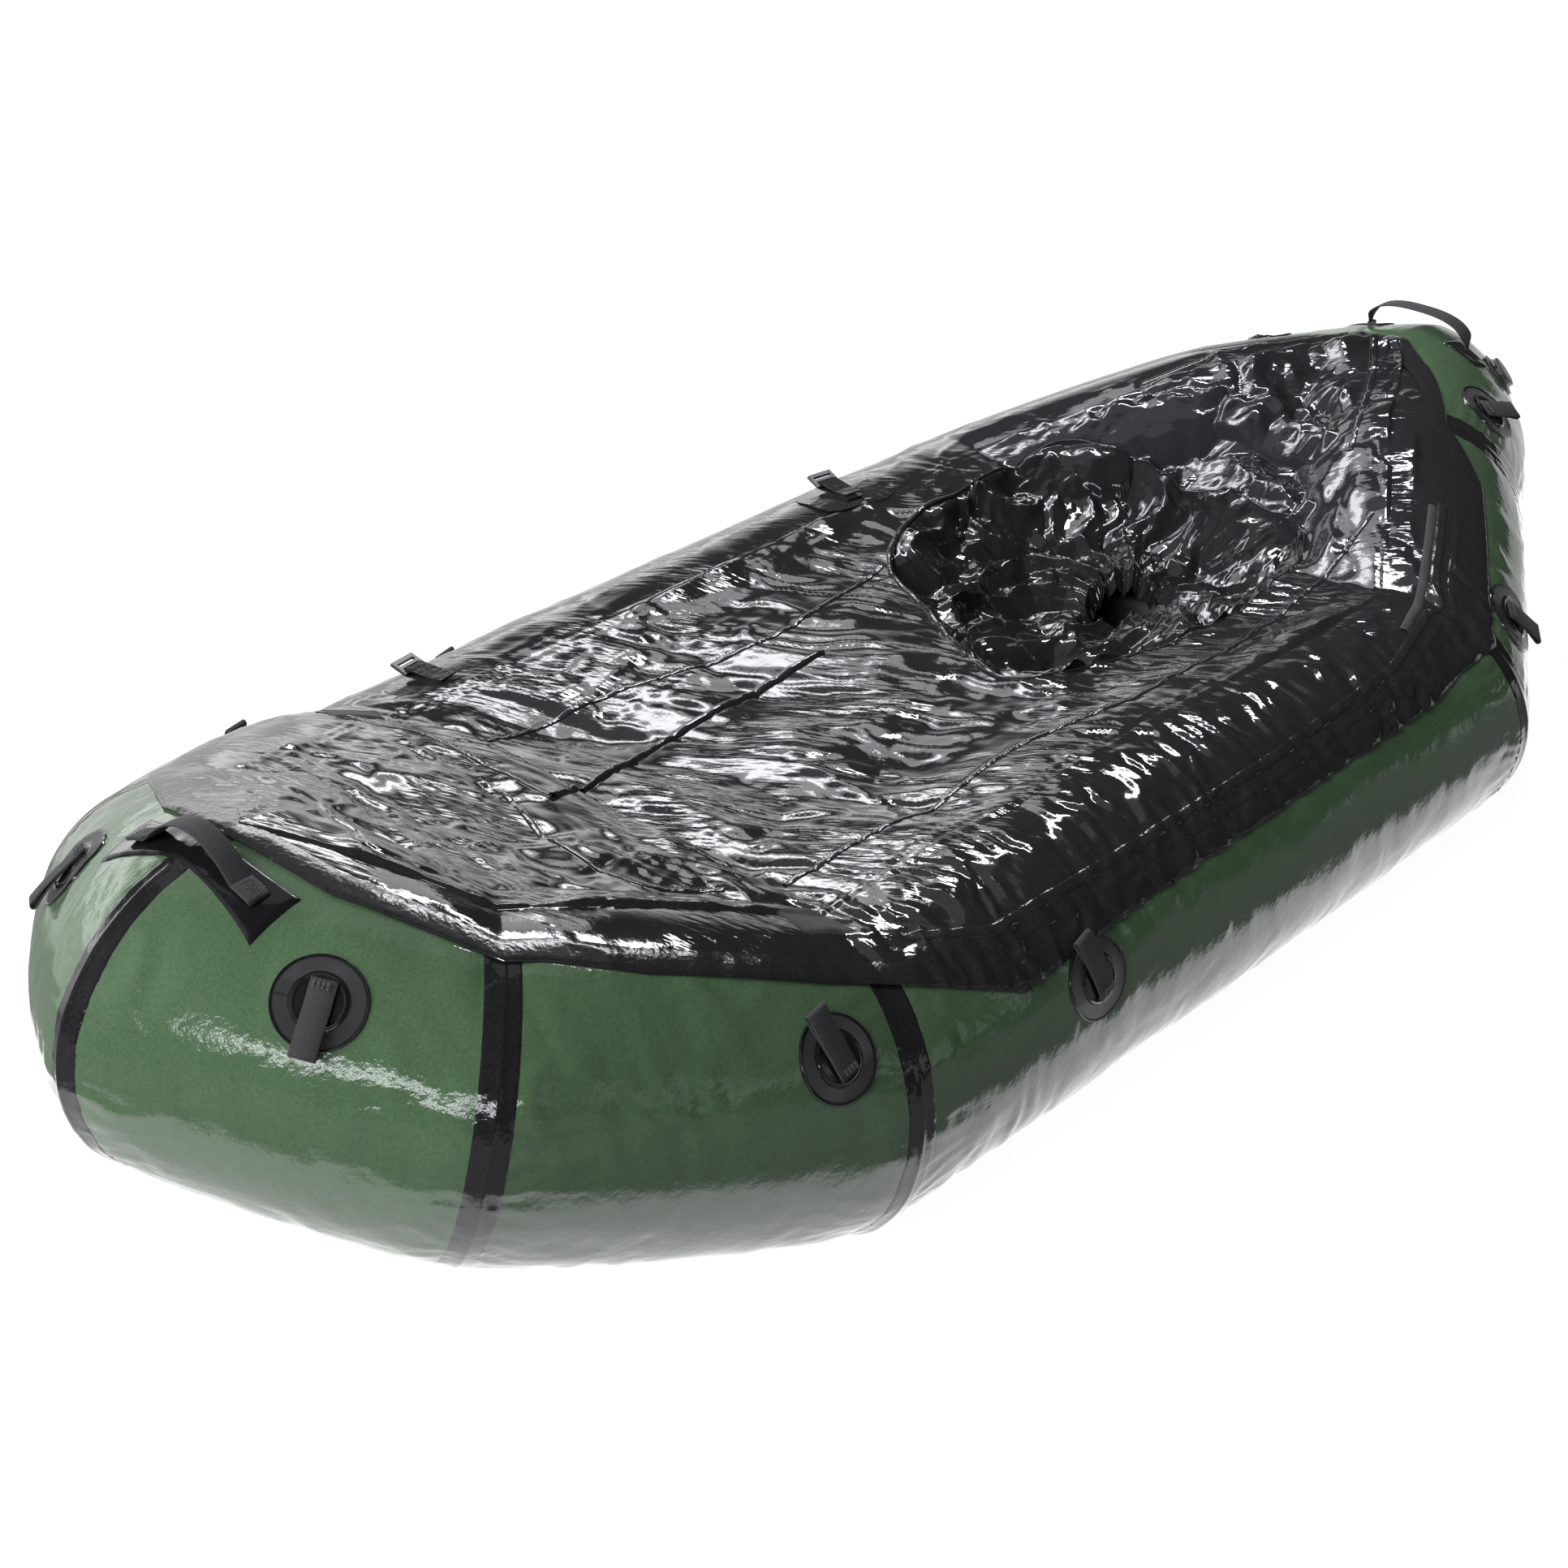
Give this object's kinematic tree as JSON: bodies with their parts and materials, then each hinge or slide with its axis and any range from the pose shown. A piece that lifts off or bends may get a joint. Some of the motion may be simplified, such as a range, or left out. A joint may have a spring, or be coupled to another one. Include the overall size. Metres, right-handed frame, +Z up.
{
  "type": "packraft",
  "caption": "One-person inflatable packraft: a closed ring of taped tube panels with upturned ends, a floor sheet, a spray deck that opens to one side, grab handles and lashing loops.",
  "frame": {"origin": "on the ground under the middle of the boat", "axes": "+X to the bow, +Y to port, +Z up"},
  "size_m": [2.351, 0.9508, 0.5218],
  "materials": {
    "tube_green": "coated fabric blown tight, semi-gloss dark green",
    "tape_black": "welded seam tape, semi-gloss black",
    "deck_black": "thin coated fabric, crinkled, glossy black",
    "floor_grey": "heavy coated fabric, matt dark grey",
    "patch_black": "reinforcing patch, fine weave, satin black",
    "webbing": "woven webbing, matt black",
    "buckle_black": "moulded plastic, fine grain",
    "pad_black": "inflated pad in coated fabric, satin black",
    "valve_black": "moulded plastic, satin"
  },
  "bodies": {
    "hull": {"anchor_aft": "patch_black", "anchor_fore": "patch_black", "bow_deck": "deck_black", "bow_handle": "webbing", "bow_handle_patch": "patch_black", "deck_strip_port": "deck_black", "deck_strip_starboard": "deck_black", "floor_sheet": "floor_grey", "main_valve_base": "valve_black", "patch_bow_port": "patch_black", "patch_bow_starboard": "patch_black", "patch_mid_port": "patch_black", "patch_mid_starboard": "patch_black", "patch_quarter_port": "patch_black", "patch_quarter_starboard": "patch_black", "patch_shoulder_port": "patch_black", "patch_shoulder_starboard": "patch_black", "patch_stern_port": "patch_black", "patch_stern_starboard": "patch_black", "seam_tape_aft_port": "tape_black", "seam_tape_aft_starboard": "tape_black", "seam_tape_bow": "tape_black", "seam_tape_fore_port": "tape_black", "seam_tape_fore_starboard": "tape_black", "seam_tape_quarter_port": "tape_black", "seam_tape_quarter_starboard": "tape_black", "seam_tape_shoulder_port": "tape_black", "seam_tape_shoulder_starboard": "tape_black", "seat": "pad_black", "stern_deck": "deck_black", "stern_handle_pad_port": "patch_black", "stern_handle_pad_starboard": "patch_black", "topup_valve_base": "valve_black", "tube_panel_bow_port": "tube_green", "tube_panel_bow_starboard": "tube_green", "tube_panel_quarter_port": "tube_green", "tube_panel_quarter_starboard": "tube_green", "tube_panel_shoulder_port": "tube_green", "tube_panel_shoulder_starboard": "tube_green", "tube_panel_side_port": "tube_green", "tube_panel_side_starboard": "tube_green", "tube_panel_stern": "tube_green"},
    "deck": {"deck_panel": "deck_black", "spray_skirt": "deck_black"},
    "loop_bow_port_body": {"loop_bow_port": "webbing"},
    "loop_bow_starboard_body": {"loop_bow_starboard": "webbing"},
    "loop_shoulder_port_body": {"loop_shoulder_port": "webbing"},
    "loop_shoulder_starboard_body": {"loop_shoulder_starboard": "webbing"},
    "loop_mid_port_body": {"loop_mid_port": "webbing"},
    "loop_mid_starboard_body": {"loop_mid_starboard": "webbing"},
    "loop_quarter_port_body": {"loop_quarter_port": "webbing"},
    "loop_quarter_starboard_body": {"loop_quarter_starboard": "webbing"},
    "loop_stern_port_body": {"loop_stern_port": "webbing"},
    "loop_stern_starboard_body": {"loop_stern_starboard": "webbing"},
    "buckle_fore_body": {"buckle_fore": "buckle_black"},
    "buckle_aft_body": {"buckle_aft": "buckle_black"},
    "stern_handle_body": {"stern_handle": "webbing"},
    "backrest_body": {"backrest": "pad_black"},
    "valve_cap": {"main_valve_cap": "valve_black"},
    "nozzle": {"topup_valve_nozzle": "valve_black"}
  },
  "joints": [
    {"name": "deck_opens", "type": "hinge", "parent": "hull", "child": "deck", "pos_m": [0.49991, -0.26304, 0.32274], "axis": [0.9999, 0.0044, 0.016], "range_deg": [0, 108]},
    {"name": "loop_bow_port_lifts", "type": "hinge", "parent": "hull", "child": "loop_bow_port_body", "pos_m": [1.01076, 0.16682, 0.43049], "axis": [0.6295, -0.7587, 0.1677], "range_deg": [0, 110], "stiffness_Nm_per_rad": 0.01},
    {"name": "loop_bow_starboard_lifts", "type": "hinge", "parent": "hull", "child": "loop_bow_starboard_body", "pos_m": [1.01073, -0.16679, 0.43045], "axis": [-0.6281, -0.7603, -0.1657], "range_deg": [0, 110], "stiffness_Nm_per_rad": 0.01},
    {"name": "loop_shoulder_port_lifts", "type": "hinge", "parent": "hull", "child": "loop_shoulder_port_body", "pos_m": [0.62841, 0.43612, 0.26289], "axis": [-0.9509, -0.0535, 0.3048], "range_deg": [0, 110], "stiffness_Nm_per_rad": 0.01},
    {"name": "loop_shoulder_starboard_lifts", "type": "hinge", "parent": "hull", "child": "loop_shoulder_starboard_body", "pos_m": [0.62841, -0.43611, 0.26289], "axis": [0.9509, -0.0533, -0.305], "range_deg": [0, 110], "stiffness_Nm_per_rad": 0.01},
    {"name": "loop_mid_port_lifts", "type": "hinge", "parent": "hull", "child": "loop_mid_port_body", "pos_m": [0.28189, 0.47206, 0.20176], "axis": [-0.9472, -0.0817, 0.3102], "range_deg": [0, 110], "stiffness_Nm_per_rad": 0.01},
    {"name": "loop_mid_starboard_lifts", "type": "hinge", "parent": "hull", "child": "loop_mid_starboard_body", "pos_m": [0.28189, -0.47206, 0.20176], "axis": [0.9472, -0.0817, -0.3102], "range_deg": [0, 110], "stiffness_Nm_per_rad": 0.01},
    {"name": "loop_quarter_port_lifts", "type": "hinge", "parent": "hull", "child": "loop_quarter_port_body", "pos_m": [-0.58859, 0.39746, 0.27712], "axis": [0.6993, 0.5951, -0.3961], "range_deg": [0, 110], "stiffness_Nm_per_rad": 0.01},
    {"name": "loop_quarter_starboard_lifts", "type": "hinge", "parent": "hull", "child": "loop_quarter_starboard_body", "pos_m": [-0.58859, -0.39746, 0.27712], "axis": [-0.6992, 0.5952, 0.3961], "range_deg": [0, 110], "stiffness_Nm_per_rad": 0.01},
    {"name": "loop_stern_port_lifts", "type": "hinge", "parent": "hull", "child": "loop_stern_port_body", "pos_m": [-0.88569, 0.17483, 0.37282], "axis": [0.2956, 0.8465, -0.4427], "range_deg": [0, 110], "stiffness_Nm_per_rad": 0.01},
    {"name": "loop_stern_starboard_lifts", "type": "hinge", "parent": "hull", "child": "loop_stern_starboard_body", "pos_m": [-0.88571, -0.17485, 0.37286], "axis": [-0.2968, 0.8447, 0.4455], "range_deg": [0, 110], "stiffness_Nm_per_rad": 0.01},
    {"name": "buckle_fore_turns", "type": "hinge", "parent": "hull", "child": "buckle_fore_body", "pos_m": [0.42832, -0.35857, 0.32719], "axis": [-0.9913, -0.1301, -0.0187], "range_deg": [-10, 90]},
    {"name": "buckle_aft_turns", "type": "hinge", "parent": "hull", "child": "buckle_aft_body", "pos_m": [-0.25583, -0.36017, 0.31912], "axis": [-0.9849, 0.1733, -0.0023], "range_deg": [-10, 90]},
    {"name": "stern_handle_swings", "type": "hinge", "parent": "hull", "child": "stern_handle_body", "pos_m": [-1.012, 0, 0.38999], "axis": [0, 1, 0], "range_deg": [-44, 44], "stiffness_Nm_per_rad": 0.02},
    {"name": "backrest_folds", "type": "hinge", "parent": "hull", "child": "backrest_body", "pos_m": [-0.441, 0, 0.07342], "axis": [0, 1, 0], "range_deg": [0, 65]},
    {"name": "valve_cap_opens", "type": "hinge", "parent": "hull", "child": "valve_cap", "pos_m": [-1.05048, 0.09133, 0.3632], "axis": [0.5585, 0.7486, -0.3573], "range_deg": [0, 150]},
    {"name": "nozzle_twists", "type": "hinge", "parent": "hull", "child": "nozzle", "pos_m": [-1.06837, -0.09517, 0.34329], "axis": [-0.4629, -0.6387, 0.6146], "range_deg": [0, 90]}
  ]
}
